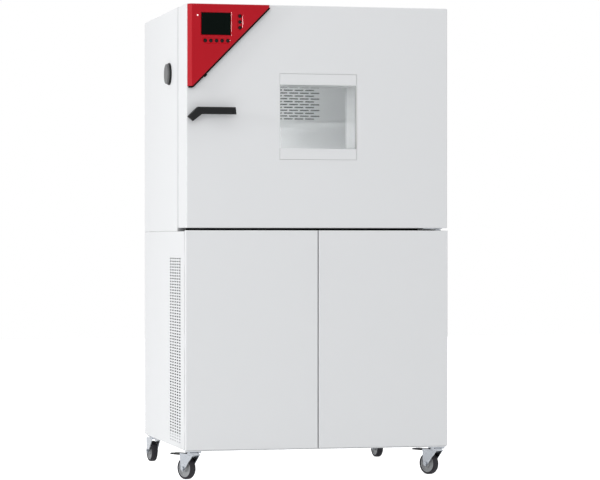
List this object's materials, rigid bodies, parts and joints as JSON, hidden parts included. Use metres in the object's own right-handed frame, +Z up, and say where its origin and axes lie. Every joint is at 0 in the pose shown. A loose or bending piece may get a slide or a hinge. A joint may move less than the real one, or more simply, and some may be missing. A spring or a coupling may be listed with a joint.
{
  "type": "environmental test chamber",
  "caption": "Climate test chamber: insulated room behind a hinged window door with a red controller, above a machine base with service doors, on castors.",
  "frame": {"origin": "on the floor under the middle of the whole object, castors and handle included", "axes": "+X to the right seen from the front, +Y to the rear, +Z up"},
  "size_m": [1.1493, 1.022, 1.94],
  "materials": {
    "white_paint": "light grey-white powder coat",
    "zinc": "bright zinc plating",
    "stainless": "fine ground stainless steel",
    "foam": "rigid foam",
    "copper": "drawn copper",
    "aluminium": "plain",
    "black_paint": "black paint",
    "galvanised": "galvanised sheet",
    "seal_rubber": "silicone rubber",
    "grey_rubber": "silicone rubber",
    "dark_plastic": "fine grain",
    "red_plastic": "red lacquer",
    "glass": "clear",
    "screen": "dark display",
    "key_plastic": "glossy black",
    "tyre": "dark grey rubber",
    "wheel_plastic": "light grey"
  },
  "bodies": {
    "cabinet": {"base_frame": "galvanised", "castor_plates": "zinc", "left_side_cover": "white_paint", "right_side_cover": "white_paint", "rear_panels": "galvanised", "machine_deck": "galvanised", "upper_casing": "white_paint", "chamber_insulation": "foam", "room_liner": "stainless", "air_baffle": "stainless", "shelf": "stainless", "evaporator": "aluminium", "heater_element": "stainless", "fan_motor": "black_paint", "port_sleeve": "dark_plastic", "condenser": "aluminium", "compressor": "black_paint", "refrigerant_lines": "copper", "wiring_box": "galvanised", "door_hardware": "zinc"},
    "door": {"door_outer_pan": "white_paint", "door_insulation": "foam", "door_inner_panel": "stainless", "door_seal": "seal_rubber", "window_tunnel": "stainless", "window_panes": "glass", "window_bars": "white_paint", "controller_housing": "red_plastic", "display_and_lamp": "screen", "handle_base": "dark_plastic", "door_hinge_leaves": "zinc"},
    "handle": {"handle_lever": "dark_plastic", "latch_cam": "zinc"},
    "left_service_door": {"left_service_door": "white_paint"},
    "right_service_door": {"right_service_door": "white_paint"},
    "fan": {"fan_wheel": "aluminium"},
    "condenser_fan": {"condenser_fan": "dark_plastic"},
    "port_plug": {"port_plug": "grey_rubber"},
    "key_1": {"key_1": "key_plastic"},
    "key_2": {"key_2": "key_plastic"},
    "key_3": {"key_3": "key_plastic"},
    "key_4": {"key_4": "key_plastic"},
    "key_5": {"key_5": "key_plastic"},
    "side_key_1": {"side_key_1": "key_plastic"},
    "side_key_2": {"side_key_2": "key_plastic"},
    "side_key_3": {"side_key_3": "key_plastic"},
    "front_left_fork": {"front_left_fork": "zinc"},
    "front_left_wheel": {"front_left_wheel": "wheel_plastic", "front_left_tyre": "tyre"},
    "front_left_pedal": {"front_left_pedal": "dark_plastic"},
    "front_right_fork": {"front_right_fork": "zinc"},
    "front_right_wheel": {"front_right_wheel": "wheel_plastic", "front_right_tyre": "tyre"},
    "front_right_pedal": {"front_right_pedal": "dark_plastic"},
    "rear_left_fork": {"rear_left_fork": "zinc"},
    "rear_left_wheel": {"rear_left_wheel": "wheel_plastic", "rear_left_tyre": "tyre"},
    "rear_right_fork": {"rear_right_fork": "zinc"},
    "rear_right_wheel": {"rear_right_wheel": "wheel_plastic", "rear_right_tyre": "tyre"}
  },
  "joints": [
    {"name": "upper_door_swing", "type": "hinge", "parent": "cabinet", "child": "door", "pos_m": [0.53525, -0.4362, 1.48], "axis": [0, 0, 1], "range_deg": [0, 100]},
    {"name": "handle_turn", "type": "hinge", "parent": "door", "child": "handle", "pos_m": [-0.51575, -0.4962, 1.48], "axis": [0, 1, 0], "range_deg": [0, 90]},
    {"name": "left_service_door_swing", "type": "hinge", "parent": "cabinet", "child": "left_service_door", "pos_m": [-0.53425, -0.4377, 0.57], "axis": [0, 0, -1], "range_deg": [0, 100]},
    {"name": "right_service_door_swing", "type": "hinge", "parent": "cabinet", "child": "right_service_door", "pos_m": [0.57075, -0.4377, 0.57], "axis": [0, 0, 1], "range_deg": [0, 100]},
    {"name": "fan_spin", "type": "hinge", "parent": "cabinet", "child": "fan", "pos_m": [0.01825, 0.2138, 1.60075], "axis": [0, 1, 0], "continuous": true},
    {"name": "condenser_fan_spin", "type": "hinge", "parent": "cabinet", "child": "condenser_fan", "pos_m": [-0.41675, -0.2362, 0.372], "axis": [1, 0, 0], "continuous": true},
    {"name": "port_plug_pull", "type": "slide", "parent": "cabinet", "child": "port_plug", "axis": [-1, 0, 0], "range_m": [0, 0.12]},
    {"name": "key_1_press", "type": "slide", "parent": "door", "child": "key_1", "axis": [0, 1, 0], "range_m": [0, 0.0015], "stiffness_N_per_m": 600},
    {"name": "key_2_press", "type": "slide", "parent": "door", "child": "key_2", "axis": [0, 1, 0], "range_m": [0, 0.0015], "stiffness_N_per_m": 600},
    {"name": "key_3_press", "type": "slide", "parent": "door", "child": "key_3", "axis": [0, 1, 0], "range_m": [0, 0.0015], "stiffness_N_per_m": 600},
    {"name": "key_4_press", "type": "slide", "parent": "door", "child": "key_4", "axis": [0, 1, 0], "range_m": [0, 0.0015], "stiffness_N_per_m": 600},
    {"name": "key_5_press", "type": "slide", "parent": "door", "child": "key_5", "axis": [0, 1, 0], "range_m": [0, 0.0015], "stiffness_N_per_m": 600},
    {"name": "side_key_1_press", "type": "slide", "parent": "door", "child": "side_key_1", "axis": [0, 1, 0], "range_m": [0, 0.0015], "stiffness_N_per_m": 600},
    {"name": "side_key_2_press", "type": "slide", "parent": "door", "child": "side_key_2", "axis": [0, 1, 0], "range_m": [0, 0.0015], "stiffness_N_per_m": 600},
    {"name": "side_key_3_press", "type": "slide", "parent": "door", "child": "side_key_3", "axis": [0, 1, 0], "range_m": [0, 0.0015], "stiffness_N_per_m": 600},
    {"name": "front_left_swivel", "type": "hinge", "parent": "cabinet", "child": "front_left_fork", "pos_m": [-0.49875, -0.4262, 0.11], "axis": [0, 0, 1], "continuous": true},
    {"name": "front_left_roll", "type": "hinge", "parent": "front_left_fork", "child": "front_left_wheel", "pos_m": [-0.51892, -0.38936, 0.045], "axis": [0.8771, 0.4802, 0], "continuous": true},
    {"name": "front_left_brake", "type": "hinge", "parent": "front_left_fork", "child": "front_left_pedal", "pos_m": [-0.52372, -0.38059, 0.102], "axis": [-0.8771, -0.4802, 0], "range_deg": [0, 10]},
    {"name": "front_right_swivel", "type": "hinge", "parent": "cabinet", "child": "front_right_fork", "pos_m": [0.53525, -0.4262, 0.11], "axis": [0, 0, 1], "continuous": true},
    {"name": "front_right_roll", "type": "hinge", "parent": "front_right_fork", "child": "front_right_wheel", "pos_m": [0.51509, -0.38936, 0.045], "axis": [0.8771, 0.4802, 0], "continuous": true},
    {"name": "front_right_brake", "type": "hinge", "parent": "front_right_fork", "child": "front_right_pedal", "pos_m": [0.51028, -0.38059, 0.102], "axis": [-0.8771, -0.4802, 0], "range_deg": [0, 10]},
    {"name": "rear_left_swivel", "type": "hinge", "parent": "cabinet", "child": "rear_left_fork", "pos_m": [-0.49875, 0.4238, 0.11], "axis": [0, 0, 1], "continuous": true},
    {"name": "rear_left_roll", "type": "hinge", "parent": "rear_left_fork", "child": "rear_left_wheel", "pos_m": [-0.50386, 0.46549, 0.045], "axis": [0.9925, 0.1219, 0], "continuous": true},
    {"name": "rear_right_swivel", "type": "hinge", "parent": "cabinet", "child": "rear_right_fork", "pos_m": [0.53525, 0.4238, 0.11], "axis": [0, 0, 1], "continuous": true},
    {"name": "rear_right_roll", "type": "hinge", "parent": "rear_right_fork", "child": "rear_right_wheel", "pos_m": [0.53014, 0.46549, 0.045], "axis": [0.9925, 0.1219, 0], "continuous": true}
  ]
}
